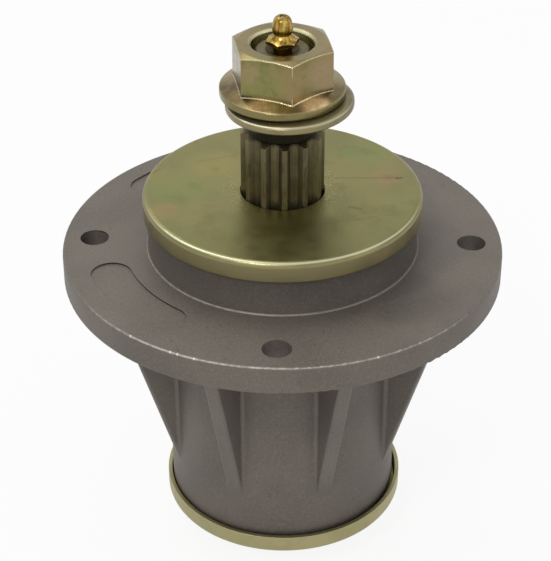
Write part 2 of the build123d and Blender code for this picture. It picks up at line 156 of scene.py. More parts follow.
class Graph:
    """One material's node tree, built with short calls. Its places are in millimetres."""

    bevel_samples: int = 6
    edge_turn: Ramp = Ramp(0.75, 0.98, 1.0, 0.0)
    spot_core: float = 0.35
    band_core: float = 0.4
    stroke_core: float = 0.3

    def __init__(self, name: str) -> None:
        """Starts an empty material.

        Args:
            name: The material's name.
        """
        self.material = bpy.data.materials.new(name)
        self.material.use_nodes = True
        self.tree = self.material.node_tree
        self.tree.nodes.clear()
        self.output = self.tree.nodes.new("ShaderNodeOutputMaterial")
        coords = self.tree.nodes.new("ShaderNodeTexCoord")
        self.place = self.vector("SCALE", coords.outputs["Object"], scale=1 / MM)
        axes = self.add("ShaderNodeSeparateXYZ", {0: self.place})
        self.x, self.y, self.z = axes.outputs
        self.radius = self.length(self.x, self.y)

    def add(self, kind: str, sockets: dict[Any, Any], **settings: Any) -> bpy.types.Node:
        """Adds a node, sets or links its inputs, and sets its own settings.

        Args:
            kind: The node's type name.
            sockets: Input names or numbers with a number, a colour or another node's output.
            **settings: The node's own settings.

        Returns:
            The new node.
        """
        node = self.tree.nodes.new(kind)
        for key, value in settings.items():
            setattr(node, key, value)
        for key, value in sockets.items():
            if isinstance(value, Socket):
                self.tree.links.new(value, node.inputs[key])
            else:
                node.inputs[key].default_value = value
        return node

    def math(self, operation: str, first: Any, second: Any = 0.0) -> Socket:
        """One Math node's result."""
        node = self.add("ShaderNodeMath", {0: first, 1: second}, operation=operation)
        return node.outputs[0]

    def length(self, across: Any, up: Any) -> Socket:
        """The length of the slanted side over two square ones."""
        squares = self.math("ADD", self.math("MULTIPLY", across, across),
                            self.math("MULTIPLY", up, up))
        return self.math("SQRT", squares)

    def vector(self, operation: str, first: Any, second: Any = None, scale: Any = 1.0) -> Socket:
        """One Vector Math node's result.

        Args:
            operation: The node's operation.
            first: The first vector.
            second: The second vector, where the operation takes one.
            scale: The factor, where it scales.

        Returns:
            The resulting vector or number.
        """
        sockets = {0: first} if second is None else {0: first, 1: second}
        if operation == "SCALE":
            sockets["Scale"] = scale
        node = self.add("ShaderNodeVectorMath", sockets, operation=operation)
        single = operation in ("DISTANCE", "DOT_PRODUCT")
        return node.outputs["Value"] if single else node.outputs["Vector"]

    def noise(self, grain: Grain) -> Socket:
        """A noise pattern's value.

        Args:
            grain: The pattern.

        Returns:
            Its value, around 0.5.
        """
        place = self.vector("MULTIPLY", self.place, grain.stretch)
        place = self.vector("ADD", place, (grain.offset, grain.offset, grain.offset))
        node = self.add("ShaderNodeTexNoise", {
            "Vector": place, "Scale": grain.per_mm, "Detail": grain.detail,
            "Roughness": grain.rough})
        return node.outputs["Fac"]

    def step(self, value: Any, ramp: Ramp) -> Socket:
        """A value passed through a ramp."""
        node = self.add("ShaderNodeMapRange", {
            0: value, 1: ramp.low, 2: ramp.high, 3: ramp.start, 4: ramp.end},
            interpolation_type="SMOOTHSTEP")
        return node.outputs[0]

    def blend(self, share: Any, first: Any, second: Any) -> Socket:
        """Two colours mixed by a share from 0 to 1."""
        node = self.add("ShaderNodeMix", {0: share, 6: first, 7: second}, data_type="RGBA")
        return node.outputs[2]

    def fade(self, far: Socket, reach: float, core: float) -> Socket:
        """A mask that is 1 up to the core, a share of the reach, and 0 from the reach on."""
        return self.step(far, Ramp(reach * core, reach, 1.0, 0.0))

    def spot(self, place: Point, reach: float) -> Socket:
        """A mask that is 1 at a place and fades out over the reach."""
        return self.fade(self.vector("DISTANCE", self.place, place), reach, self.spot_core)

    def band(self, radius: float, height: float, reach: float, middle: Pair = (0.0, 0.0),
             slope: float = 0.0) -> Socket:
        """A mask that is 1 on a circle about an upright axis and fades out beside it.

        Args:
            radius: The circle's radius.
            height: The height of its middle.
            reach: How far beside the circle the mask goes.
            middle: The axis's X and Y.
            slope: The circle's rise for each millimetre along X.

        Returns:
            The mask.
        """
        across = self.math("SUBTRACT", self.x, middle[0])
        around = self.length(across, self.math("SUBTRACT", self.y, middle[1]))
        level = self.math("ADD", self.math("MULTIPLY", across, slope), height)
        far = self.length(self.math("SUBTRACT", around, radius),
                          self.math("SUBTRACT", self.z, level))
        return self.fade(far, reach, self.band_core)

    def stroke(self, start: Point, end: Point, width: float) -> Socket:
        """A mask that is 1 on a straight line and fades out beside it.

        Args:
            start: Where the line starts.
            end: Where it ends.
            width: How far beside the line the mask goes.

        Returns:
            The mask.
        """
        line = Vector(end) - Vector(start)
        offset = self.vector("SUBTRACT", self.place, start)
        share = self.math("DIVIDE", self.vector("DOT_PRODUCT", offset, tuple(line)),
                          line.length_squared)
        share = self.add("ShaderNodeClamp", {0: share}).outputs[0]
        along = self.vector("SCALE", tuple(line), scale=share)
        return self.fade(self.vector("DISTANCE", offset, along), width, self.stroke_core)

    def both(self, *masks: Any) -> Socket:
        """Several masks multiplied."""
        return reduce(partial(self.math, "MULTIPLY"), masks)

    def union(self, *masks: Socket) -> Socket:
        """The largest of several masks."""
        return reduce(partial(self.math, "MAXIMUM"), masks)

    def weigh(self, first: Socket, second: Socket, share: float) -> Socket:
        """Two patterns added, the first at this share and the second at the rest."""
        return self.math("ADD", self.math("MULTIPLY", first, share),
                         self.math("MULTIPLY", second, 1 - share))

    def edge(self, reach: Any) -> tuple[Socket, Socket]:
        """Rounds the light on sharp edges.

        Args:
            reach: How far from an edge it goes, in millimetres, the same all over or not.

        Returns:
            The rounded normal, and a mask that rises towards the edges.
        """
        radius = self.math("MULTIPLY", reach, MM) if isinstance(reach, Socket) else reach * MM
        bevel = self.add("ShaderNodeBevel", {"Radius": radius}, samples=self.bevel_samples)
        rounded = bevel.outputs["Normal"]
        flat = self.add("ShaderNodeNewGeometry", {}).outputs["Normal"]
        return rounded, self.step(self.vector("DOT_PRODUCT", rounded, flat), self.edge_turn)

    def finish(self, color: Any, roughness: Any, metallic: float, height: Socket, depth: float,
               normal: Socket | None = None) -> Finish:
        """Closes the graph with a Principled shader.

        Args:
            color: The base colour.
            roughness: The roughness.
            metallic: The metallic share, one number all over.
            height: The bump's height pattern from 0 to 1.
            depth: The bump's full height in millimetres.
            normal: The normal that the bump starts from, or None for the surface's own.

        Returns:
            The finished material.
        """
        sockets = {"Strength": 1.0, "Distance": depth * MM, "Height": height}
        if normal is not None:
            sockets["Normal"] = normal
        bump = self.add("ShaderNodeBump", sockets)
        shader = self.add("ShaderNodeBsdfPrincipled", {
            "Base Color": color, "Roughness": roughness, "Metallic": metallic,
            "Normal": bump.outputs[0]})
        self.tree.links.new(shader.outputs[0], self.output.inputs[0])
        return self.material


@dataclass(frozen=True)
class CastAluminium:
    """The casting's dull warm grey skin, with fine grain, rubbed rims with painted highlights, and
    painted shade in its corners and under the shield.
    """

    skin: Color = tint(109, 102, 94)
    shade: Color = tint(101, 94.5, 87)
    dark: Color = tint(84, 78, 70)
    pale: Color = tint(138, 130, 121)
    # Rubbed metal on edges and nicks, also the painted highlights along the rim's front and the
    # neck's foot.
    worn: Color = tint(214, 209, 200)
    # Painted shade: the neck under the shield, the pockets' walls, the barrel's end by the cup and
    # smears of the shield's shadow.
    painted_shade: Color = tint(46, 42, 37)
    cloud: Grain = Grain(0.03)
    sand: Grain = Grain(1.3, 3.0, 0.75, offset=3.0)
    pits: Grain = Grain(0.55, 2.0, 0.6, offset=17.0)
    shade_share: Ramp = Ramp(0.4, 0.62)
    pale_share: Ramp = Ramp(0.5, 0.7, 0.0, 0.42)
    dark_share: Ramp = Ramp(0.5, 0.3, 0.0, 0.48)
    pit_share: Ramp = Ramp(0.36, 0.26, 0.0, 0.5)
    roughness: Ramp = Ramp(0.3, 0.7, 0.5, 0.62)
    metallic: float = 0.45
    sand_height: float = 0.7
    depth: float = 0.06
    edge_reach: float = 0.5
    edge_share: float = 0.1

    barrel_r: float = 39.6
    barrel_bottom: float = -98.5
    barrel_inside: Ramp = Ramp(-4.0, -1.0)
    barrel_outside: Ramp = Ramp(4.0, 1.0)
    # Painted shade, darker towards the barrel's lower end by the cup.
    end_shade: Ramp = Ramp(7.0, 2.0, 0.0, 0.7)
    low_shade: Ramp = Ramp(45.0, 5.0, 0.0, 0.16)
    neck_r: float = 45.3
    neck_wall: Ramp = Ramp(0.9, 0.3)
    # Painted shadow of the shield on the neck.
    neck_shadow: Ramp = Ramp(0.3, 12.0, 0.12, 0.46)
    above_flange: Ramp = Ramp(0.0, 0.4)
    shade_patchy: Ramp = Ramp(0.3, 0.5, 0.7, 1.0)

    # The pockets' low walls get painted shade.
    pocket_circle_r: float = 59.8
    pocket_depth: float = 0.6
    pocket_top: Ramp = Ramp(-0.02, -0.08)
    pocket_floor: Ramp = Ramp(0.02, 0.08)
    pocket_sides: Ramp = Ramp(8.0, 7.5)
    pocket_left: Ramp = Ramp(-14.0, -18.0)
    pocket_inner: Ramp = Ramp(5.5, -1.0, 0.15, 1.0)

    # A bright rim line: rubbed metal with a painted highlight, strongest at the front.
    rim_r: float = 73.57
    rim_height: float = -0.23
    rim_width: float = 0.42
    rim_front: Ramp = Ramp(-35.0, -64.0, 0.06, 0.48)
    # A bright line at the neck's foot: machined metal with a painted highlight, stronger on the
    # left.
    foot_r: float = 45.75
    foot_height: float = 0.4
    foot_width: float = 0.4
    foot_left: Ramp = Ramp(30.0, -20.0, 0.14, 0.36)
    worn_patchy: Ramp = Ramp(0.35, 0.6, 0.35, 1.0)
    nick_reach: float = 0.6
    nick_share: float = 0.9
    nicks: tuple[Point, ...] = (
        (-45.8, -57.6, -0.2), (-32.8, -65.8, -0.2), (-30.5, -66.9, -0.2),
        (-25.2, -69.1, -0.2), (31.1, -66.7, -0.2))
    # Soft smears of painted shadow from the shield on the flange.
    shadow_smear_width: float = 9.0
    shadow_smear_share: Ramp = Ramp(0.3, 0.6, 0.1, 0.2)
    shadow_smears: tuple[tuple[Point, Point], ...] = (
        ((23.3, -38.0, 0.0), (43.0, -24.0, 0.0)), ((36.0, -44.0, 0.0), (50.0, -36.0, 0.0)))

    def material(self) -> Finish:
        """Builds the finish.

        Returns:
            The finished material.
        """
        graph = Graph("cast_aluminium")
        cloud = graph.noise(self.cloud)
        sand = graph.noise(self.sand)
        pit = graph.noise(self.pits)
        edge = graph.edge(self.edge_reach)[1]
        color = graph.blend(graph.step(cloud, self.shade_share), self.skin, self.shade)
        color = graph.blend(graph.step(sand, self.pale_share), color, self.pale)
        color = graph.blend(graph.step(sand, self.dark_share), color, self.dark)
        color = graph.blend(graph.step(pit, self.pit_share), color, self.dark)
        # Painted shade on the neck, pockets, barrel's end and shadow smears.
        color = graph.blend(self.painted_shade_mask(graph, pit), color, self.painted_shade)
        # Rubbed metal, with painted highlights on the rim's front and the neck's foot.
        color = graph.blend(self.wear_and_highlight_mask(graph, edge, pit), color, self.worn)
        height = graph.weigh(sand, pit, self.sand_height)
        return graph.finish(color, graph.step(sand, self.roughness), self.metallic, height,
                            self.depth)

    def pocket_wall(self, graph: Graph) -> Socket:
        """A mask of the pockets' low walls."""
        across = graph.math("ABSOLUTE", graph.math("SUBTRACT", graph.radius, self.pocket_circle_r))
        return graph.both(graph.step(graph.z, self.pocket_top),
                          graph.step(graph.z, self.pocket_floor.at(-self.pocket_depth)),
                          graph.step(across, self.pocket_sides),
                          graph.step(graph.x, self.pocket_left),
                          graph.step(graph.radius, self.pocket_inner.at(self.pocket_circle_r)))

    def painted_shade_mask(self, graph: Graph, pit: Socket) -> Socket:
        """Where painted shade darkens the casting.

        Args:
            graph: The casting's graph.
            pit: The pattern of pits that breaks the painted shade up.

        Returns:
            A mask of painted shade: the neck under the shield, the barrel's end by the cup, the
                pockets' walls and the smears of the shield's shadow.
        """
        end = graph.both(
            graph.union(graph.step(graph.z, self.end_shade.at(self.barrel_bottom)),
                        graph.step(graph.z, self.low_shade.at(self.barrel_bottom))),
            graph.step(graph.radius, self.barrel_inside.at(self.barrel_r)),
            graph.step(graph.radius, self.barrel_outside.at(self.barrel_r)))
        neck = graph.both(graph.step(graph.z, self.neck_shadow),
                          graph.step(graph.z, self.above_flange),
                          graph.step(graph.radius, self.neck_wall.at(self.neck_r)))
        shadow_smears = graph.union(*(graph.stroke(start, end, self.shadow_smear_width)
                               for start, end in self.shadow_smears))
        return graph.union(graph.both(graph.union(end, neck), graph.step(pit, self.shade_patchy)),
                           self.pocket_wall(graph),
                           graph.both(shadow_smears, graph.step(pit, self.shadow_smear_share)))

    def wear_and_highlight_mask(self, graph: Graph, edge: Socket, pit: Socket) -> Socket:
        """Where rubbing has left bright metal, and where highlights are painted.

        Args:
            graph: The casting's graph.
            edge: The mask of its edges.
            pit: The pattern of pits that breaks the lines up.

        Returns:
            A mask of the flange's rim, rubbed and with a painted highlight most at the front, the
            neck's foot with a painted highlight stronger on the left, edges and nicks.
        """
        patchy = graph.step(pit, self.worn_patchy)
        rim = graph.both(graph.band(self.rim_r, self.rim_height, self.rim_width),
                         graph.step(graph.y, self.rim_front), patchy)
        foot = graph.both(graph.band(self.foot_r, self.foot_height, self.foot_width),
                          graph.step(graph.x, self.foot_left), patchy)
        nicks = graph.union(*(graph.spot(nick, self.nick_reach) for nick in self.nicks))
        return graph.union(rim, foot, graph.both(edge, patchy, self.edge_share),
                           graph.both(nicks, self.nick_share))


@dataclass(frozen=True)
class Patch:
    """A soft patch on a plated piece, of another tint, of painted shade or of a painted highlight,
    up to a ceiling where it has one.
    """

    place: Point
    reach: float
    color: Color
    share: float
    ceiling: float | None = None


@dataclass(frozen=True)
class Scratch:
    """A fine line scored in a plated piece."""

    start: Point
    end: Point
    width: float
    share: float


@dataclass(frozen=True)
class Bend:
    """A rounded edge whose ridge gets a painted highlight, a bright ring."""

    radius: float
    height: float
    reach: float
    share: float
    middle: Pair = (0.0, 0.0)
    slope: float = 0.0


OPEN_FILM = Grain(0.12, 4.0, 0.6, offset=11.0)
CLOSE_FILM = Grain(0.22, 4.0, 0.6, offset=11.0)


@dataclass(frozen=True)
class ZincPlate:
    """Yellow passivated zinc plate with drifting tints and edges rubbed bright, with painted
    highlights on bends and on the nut's crown edges, and painted light on the bore's back wall,
    where set.
    """

    name: str
    base: Color
    drift: Color
    dull: Color
    # Edge colour: rubbed metal, and on the nut's crown a painted highlight.
    edge: Color = tint(226, 214, 172)
    # Painted highlights on bends, and painted light on the bore's back wall.
    bright: Color = tint(244, 240, 222)
    scored: Color = tint(70, 62, 40)
    metallic: float = 1.0
    roughness: float = 0.3
    uneven: Ramp = Ramp(0.3, 0.7, -0.04, 0.06)
    cloud: Grain = Grain(0.045)
    film: Grain = OPEN_FILM
    fine: Grain = Grain(1.6, 3.0, 0.6, offset=5.0)
    fine_height: float = 0.35
    depth: float = 0.012
    drift_share: Ramp = Ramp(0.4, 0.66)
    film_share: Ramp = Ramp(0.5, 0.75, 0.0, 0.35)
    fine_share: Ramp = Ramp(0.6, 0.8, 0.0, 0.3)

    edge_share: float = 0.6
    edge_reach: float = 0.35
    rub_and_highlight: Ramp = Ramp(0.3, 0.6, 0.6, 1.0)
    patches: tuple[Patch, ...] = ()
    patch_film: Ramp = Ramp(0.35, 0.6, 0.5, 1.0)
    patch_ceiling: Ramp = Ramp(0.2, -0.1)
    scratches: tuple[Scratch, ...] = ()
    scratch_fine: Ramp = Ramp(0.35, 0.55, 0.4, 1.0)
    # The bend's ring is a painted highlight, strongest at the front.
    bend: Bend | None = None
    bend_front: float = -0.83
    bend_back_share: float = 0.05
    bend_smoother: float = 0.16

    side: Color | None = None
    side_top: float = 0.0
    side_share: Ramp = Ramp(0.0, -0.8, 0.0, 0.75)
    # Where the nut's crown starts: its edges and the hexagon's foot keep the painted edge
    # highlight, the flats' upright edges little of it.
    crown_bottom: float = 0.0
    crown: Ramp = Ramp(-2.5, 0.0)
    hexagon_foot: Ramp = Ramp(-7.5, -9.5)
    flats_reach: Ramp = Ramp(0.0, 1.0, 0.2, 1.0)
    flats_share: Ramp = Ramp(0.0, 1.0, 0.12, 1.0)
    rim_r: float = 0.0
    rim: Ramp = Ramp(-0.5, -0.1)
    # Painted light on the bore's wall, brighter towards the back.
    bore_r: float = 0.0
    bore_share: Ramp = Ramp(0.1, -0.1, 0.0, 0.7)
    bore_back: Ramp = Ramp(0.0, 8.0, 0.1, 1.0)
    speckled_r: float = 0.0
    speckled: Ramp = Ramp(0.0, -7.0)
    speck_fine: Ramp = Ramp(0.56, 0.66, 0.0, 0.6)
    speck_film: Ramp = Ramp(0.35, 0.55, 0.2, 1.0)

    def material(self) -> Finish:
        """Builds the finish.

        Returns:
            The finished material.
        """
        graph = Graph(self.name)
        film = graph.noise(self.film)
        fine = graph.noise(self.fine)
        reach = self.edge_reach
        rub_and_highlight = graph.step(fine, self.rub_and_highlight.times(self.edge_share))
        # On the nut, the painted edge highlight is kept to the crown and the hexagon's foot.
        if self.crown_bottom:
            off_flats = graph.union(graph.step(graph.z, self.crown.at(self.crown_bottom)),
                                    graph.step(graph.z, self.hexagon_foot.at(self.crown_bottom)))
            reach = graph.step(off_flats, self.flats_reach.times(self.edge_reach))
            rub_and_highlight = graph.both(rub_and_highlight, graph.step(off_flats, self.flats_share))
        normal, edge = graph.edge(reach)
        color = graph.blend(graph.step(graph.noise(self.cloud), self.drift_share), self.base,
                            self.drift)
        color = self.patch(graph, color, film)
        color = graph.blend(graph.step(film, self.film_share), color, self.dull)
        color = graph.blend(graph.step(fine, self.fine_share), color, self.dull)
        if self.side:
            wall = graph.step(graph.z, self.side_share.at(self.side_top))
            color = graph.blend(wall, color, self.side)
        # Edges: rubbed metal and painted highlight.
        color = graph.blend(graph.both(edge, rub_and_highlight), color, self.edge)
        roughness = graph.step(film, self.uneven.above(self.roughness))
        if self.bend:
            # Painted highlight along the bend's ridge.
            line = self.bend_line(graph, self.bend)
            color = graph.blend(graph.both(line, self.bend.share), color, self.bright)
            roughness = graph.math("SUBTRACT", roughness, graph.both(line, self.bend_smoother))
        color = self.marks_and_bore_light(graph, color, film, fine)
        height = graph.weigh(fine, film, self.fine_height)
        return graph.finish(color, roughness, self.metallic, height, self.depth, normal)

    def patch(self, graph: Graph, color: Socket, film: Socket) -> Socket:
        """Lays the patches over the plate, other tints as well as painted shade and painted
        highlights, and the second tint on the rim.

        Args:
            graph: The plate's graph.
            color: The colour so far.
            film: The pattern that breaks the patches up.

        Returns:
            The patched colour.
        """
        for patch in self.patches:
            share = graph.both(graph.spot(patch.place, patch.reach),
                               graph.step(film, self.patch_film))
            if patch.ceiling is not None:
                share = graph.both(share, graph.step(graph.z, self.patch_ceiling.at(patch.ceiling)))
            color = graph.blend(graph.both(share, patch.share), color, patch.color)
        if self.rim_r:
            rim = graph.step(graph.radius, self.rim.at(self.rim_r))
            color = graph.blend(rim, color, self.drift)
        return color

    def bend_line(self, graph: Graph, bend: Bend) -> Socket:
        """A mask of a bend's ridge for its painted highlight, strongest at the front.

        Args:
            graph: The plate's graph.
            bend: The bend.

        Returns:
            The mask.
        """
        ring = graph.band(bend.radius, bend.height, bend.reach, bend.middle, bend.slope)
        front = Ramp(0.0, self.bend_front * bend.radius, self.bend_back_share, 1.0)
        return graph.both(ring, graph.step(graph.y, front))

    def marks_and_bore_light(self, graph: Graph, color: Socket, film: Socket, fine: Socket) -> Socket:
        """Adds the painted light on the bore's back wall, the specks round the shaft and the
        scratches.

        Args:
            graph: The plate's graph.
            color: The colour so far.
            film: The plate's broader pattern.
            fine: The plate's finer pattern.

        Returns:
            The colour with its marks and the bore's painted light.
        """
        # Painted light on the back of the bore's wall.
        if self.bore_r:
            inside = graph.both(graph.step(graph.radius, self.bore_share.at(self.bore_r)),
                                graph.step(graph.y, self.bore_back))
            color = graph.blend(inside, color, self.bright)
        if self.speckled_r:
            specks = graph.both(graph.step(graph.radius, self.speckled.at(self.speckled_r)),
                                graph.step(fine, self.speck_fine),
                                graph.step(film, self.speck_film))
            color = graph.blend(specks, color, self.edge)
        for scratch in self.scratches:
            line = graph.both(graph.stroke(scratch.start, scratch.end, scratch.width),
                              scratch.share, graph.step(fine, self.scratch_fine))
            color = graph.blend(line, color, self.scored)
        return color


@dataclass(frozen=True)
class OiledSteel:
    """The shaft's dark oiled steel, rubbed lighter and with painted highlights along the spline's
    ridges and edges, and with the washer's painted shadow on the neck.
    """

    base: Color = tint(105, 98, 74)
    deep: Color = tint(74, 67, 48)
    # Rubbed metal and painted highlight on the spline's ridges and edges.
    rub_and_highlight: Color = tint(178, 168, 130)
    # Painted shade: the washer's shadow on the neck above the spline.
    painted_neck_shade: Color = tint(34, 30, 20)
    cloud: Grain = Grain(0.12, 3.0, 0.6)
    streak: Grain = Grain(1.1, 3.0, 0.65, stretch=(1.0, 1.0, 0.2))
    cloud_share: Ramp = Ramp(0.4, 0.65, 0.0, 0.6)
    streak_share: Ramp = Ramp(0.5, 0.75, 0.0, 0.5)
    tooth_share: Ramp = Ramp(11.5, 13.6, 0.0, 0.16)
    tooth_streak: Ramp = Ramp(0.35, 0.7)
    edge_reach: float = 0.2
    edge_streak: Ramp = Ramp(0.35, 0.6, 0.2, 0.65)
    spline_top: float = 43.1
    neck_start: Ramp = Ramp(-1.6, 0.3)
    neck_end: Ramp = Ramp(69.5, 68.5)
    neck_inside: Ramp = Ramp(13.4, 12.6, 0.0, 0.97)
    neck_rougher: float = 0.15
    roughness: Ramp = Ramp(0.3, 0.7, 0.34, 0.5)
    metallic: float = 0.9
    depth: float = 0.02

    def material(self) -> Finish:
        """Builds the finish.

        Returns:
            The finished material.
        """
        graph = Graph("oiled_steel")
        cloud = graph.noise(self.cloud)
        streak = graph.noise(self.streak)
        normal, edge = graph.edge(self.edge_reach)
        color = graph.blend(graph.step(cloud, self.cloud_share), self.base, self.deep)
        color = graph.blend(graph.step(streak, self.streak_share), color, self.deep)
        # The ridges and edges are lightened: rubbed metal and painted highlight.
        teeth = graph.both(graph.step(graph.radius, self.tooth_share),
                           graph.step(streak, self.tooth_streak))
        color = graph.blend(teeth, color, self.rub_and_highlight)
        color = graph.blend(graph.both(edge, graph.step(streak, self.edge_streak)), color,
                            self.rub_and_highlight)
        # Painted shade of the washer over the neck above the spline.
        neck = graph.both(graph.step(graph.z, self.neck_start.at(self.spline_top)),
                          graph.step(graph.z, self.neck_end),
                          graph.step(graph.radius, self.neck_inside))
        color = graph.blend(neck, color, self.painted_neck_shade)
        roughness = graph.math("ADD", graph.step(streak, self.roughness),
                               graph.both(neck, self.neck_rougher))
        return graph.finish(color, roughness, self.metallic, streak, self.depth, normal)


@dataclass(frozen=True)
class Brass:
    """The grease fitting's turned yellow brass, with painted reflection streaks down it."""

    base: Color = tint(168, 138, 66)
    deep: Color = tint(98, 76, 30)
    bright: Color = tint(232, 206, 132)
    cloud: Grain = Grain(0.4)
    flute: Grain = Grain(0.75, stretch=(1.0, 1.0, 0.08), offset=4.0)
    cloud_share: Ramp = Ramp(0.45, 0.7, 0.0, 0.5)
    # Painted reflections: dark and bright streaks down the flutes.
    flute_dark_reflection: Ramp = Ramp(0.46, 0.6, 0.0, 0.75)
    flute_bright_reflection: Ramp = Ramp(0.42, 0.34, 0.0, 0.5)
    edge_reach: float = 0.25
    edge_share: float = 0.35
    roughness: Ramp = Ramp(0.3, 0.7, 0.2, 0.28)
    metallic: float = 1.0
    depth: float = 0.12

    def material(self) -> Finish:
        """Builds the finish.

        Returns:
            The finished material.
        """
        graph = Graph("brass")
        cloud = graph.noise(self.cloud)
        flute = graph.noise(self.flute)
        normal, edge = graph.edge(self.edge_reach)
        color = graph.blend(graph.step(cloud, self.cloud_share), self.base, self.deep)
        # Painted reflection streaks, dark then bright.
        color = graph.blend(graph.step(flute, self.flute_dark_reflection), color, self.deep)
        color = graph.blend(graph.step(flute, self.flute_bright_reflection), color, self.bright)
        color = graph.blend(graph.both(edge, self.edge_share), color, self.bright)
        return graph.finish(color, graph.step(cloud, self.roughness), self.metallic, flute,
                            self.depth, normal)


@dataclass(frozen=True)
class GroundSteel:
    """The bearings' clean ground steel."""

    base: Color = tint(172, 172, 174)
    dull: Color = tint(140, 139, 138)
    bright: Color = tint(214, 214, 216)
    grind: Grain = Grain(2.5, stretch=(0.2, 0.2, 1.0))
    dull_share: Ramp = Ramp(0.35, 0.7)
    edge_reach: float = 0.25
    edge_share: float = 0.3
    roughness: Ramp = Ramp(0.3, 0.7, 0.18, 0.3)
    metallic: float = 1.0
    depth: float = 0.004

    def material(self) -> Finish:
        """Builds the finish.

        Returns:
            The finished material.
        """
        graph = Graph("ground_steel")
        grind = graph.noise(self.grind)
        normal, edge = graph.edge(self.edge_reach)
        color = graph.blend(graph.step(grind, self.dull_share), self.base, self.dull)
        color = graph.blend(graph.both(edge, self.edge_share), color, self.bright)
        return graph.finish(color, graph.step(grind, self.roughness), self.metallic, grind,
                            self.depth, normal)


@dataclass(frozen=True)
class SealRubber:
    """The seals' matte black rubber."""

    base: Color = tint(38, 37, 36)
    worn: Color = tint(62, 60, 57)
    cloud: Grain = Grain(0.8, 3.0, 0.6)
    worn_share: Ramp = Ramp(0.4, 0.75)
    roughness: Ramp = Ramp(0.3, 0.7, 0.6, 0.75)
    metallic: float = 0.0
    depth: float = 0.02

    def material(self) -> Finish:
        """Builds the finish.

        Returns:
            The finished material.
        """
        graph = Graph("seal_rubber")
        cloud = graph.noise(self.cloud)
        color = graph.blend(graph.step(cloud, self.worn_share), self.base, self.worn)
        return graph.finish(color, graph.step(cloud, self.roughness), self.metallic, cloud,
                            self.depth)


class Bench:
    """The workbench: operator calls that shape one piece at a time, with sizes in millimetres."""

    @staticmethod
    def clear() -> None:
        """Deselects every object."""
        bpy.ops.object.select_all(action="DESELECT")

    @staticmethod
    def outline(points: list[Pair]) -> Piece:
        """Starts a piece from a ring of edges in the XZ plane.

        Args:
            points: Each corner's radius and height, in order round the outline.

        Returns:
            The piece, a closed outline with no face.
        """
        Bench.clear()
        bpy.ops.mesh.primitive_circle_add(vertices=len(points), radius=MM, location=(0, 0, 0))
        piece = bpy.context.object
        for corner, (radius, height) in zip(piece.data.vertices, points):
            corner.co = (radius * MM, 0.0, height * MM)
        return piece

    @staticmethod
    def screw(piece: Piece, pitch: float, turns: float, steps: int) -> None:
        """Winds a piece's outline up the Z axis with a Screw modifier, and applies it.

        Args:
            piece: The piece, an outline beside the axis.
            pitch: The rise in one turn.
            turns: How many turns it makes.
            steps: The segments in one turn.
        """
        screw = piece.modifiers.new("thread", "SCREW")
        screw.axis = "Z"
        screw.angle = math.tau * turns
        screw.screw_offset = pitch * turns * MM
        screw.iterations = 1
        screw.steps = screw.render_steps = round(steps * turns)
        screw.use_merge_vertices = False
        Bench.apply(piece, screw)

    @staticmethod
    def lathe(points: list[Pair], steps: int) -> Piece:
        """Turns a closed outline once round the Z axis.

        Args:
            points: Each corner's radius and height, in order round the outline.
            steps: The segments in the turn.

        Returns:
            The turned piece, closed.
        """
        piece = Bench.outline(points)
        Bench.screw(piece, 0.0, 1.0, steps)
        Bench.close(piece)
        return piece

    @staticmethod
    def apply(piece: Piece, modifier: bpy.types.Modifier) -> None:
        """Applies one modifier.

        Args:
            piece: The piece that has it.
            modifier: The modifier.
        """
        Bench.clear()
        piece.select_set(True)
        bpy.context.view_layer.objects.active = piece
        bpy.ops.object.modifier_apply(modifier=modifier.name)

    @staticmethod
    def close(piece: Piece, smooth_below: float = 35.0) -> None:
        """Fills a piece's open ends, turns its faces outward and smooths all but sharp edges.

        Args:
            piece: The piece.
            smooth_below: The angle in degrees under which an edge is smoothed.
        """
        Bench.clear()
        piece.select_set(True)
        bpy.context.view_layer.objects.active = piece
        bpy.ops.object.mode_set(mode="EDIT")
        bpy.ops.mesh.select_all(action="SELECT")
        bpy.ops.mesh.remove_doubles(threshold=MERGE_REACH)
        bpy.ops.mesh.fill_holes(sides=0)
        bpy.ops.mesh.select_all(action="SELECT")
        bpy.ops.mesh.normals_make_consistent(inside=False)
        bpy.ops.object.mode_set(mode="OBJECT")
        bpy.ops.object.shade_smooth_by_angle(angle=math.radians(smooth_below))


@dataclass(frozen=True)
class ThreadSize:
    """The size of one screw thread's visible turns."""

    name: str
    root_r: float
    crest_r: float
    low: float
    high: float
    pitch: float
    side: ThreadSide
    sunk: float = 0.12
    flank_share: float = 0.46
    crest_share: float = 0.07
    steps: int = 64

    def build(self) -> Piece:
        """Models the thread's ridge as a wound outline, its root sunk into the metal behind it.

        Returns:
            The finished ridge.
        """
        root = self.root_r - self.sunk * self.side.value
        half = self.pitch * self.flank_share
        tip = self.pitch * self.crest_share
        start = self.low + half
        points = [(root, start - half), (self.crest_r, start - tip), (self.crest_r, start + tip),
                  (root, start + half)]
        piece = Bench.outline(points)
        turns = (self.high - self.low - 2 * half) / self.pitch
        Bench.screw(piece, self.pitch, turns, self.steps)
        Bench.close(piece)
        piece.name = self.name
        return piece


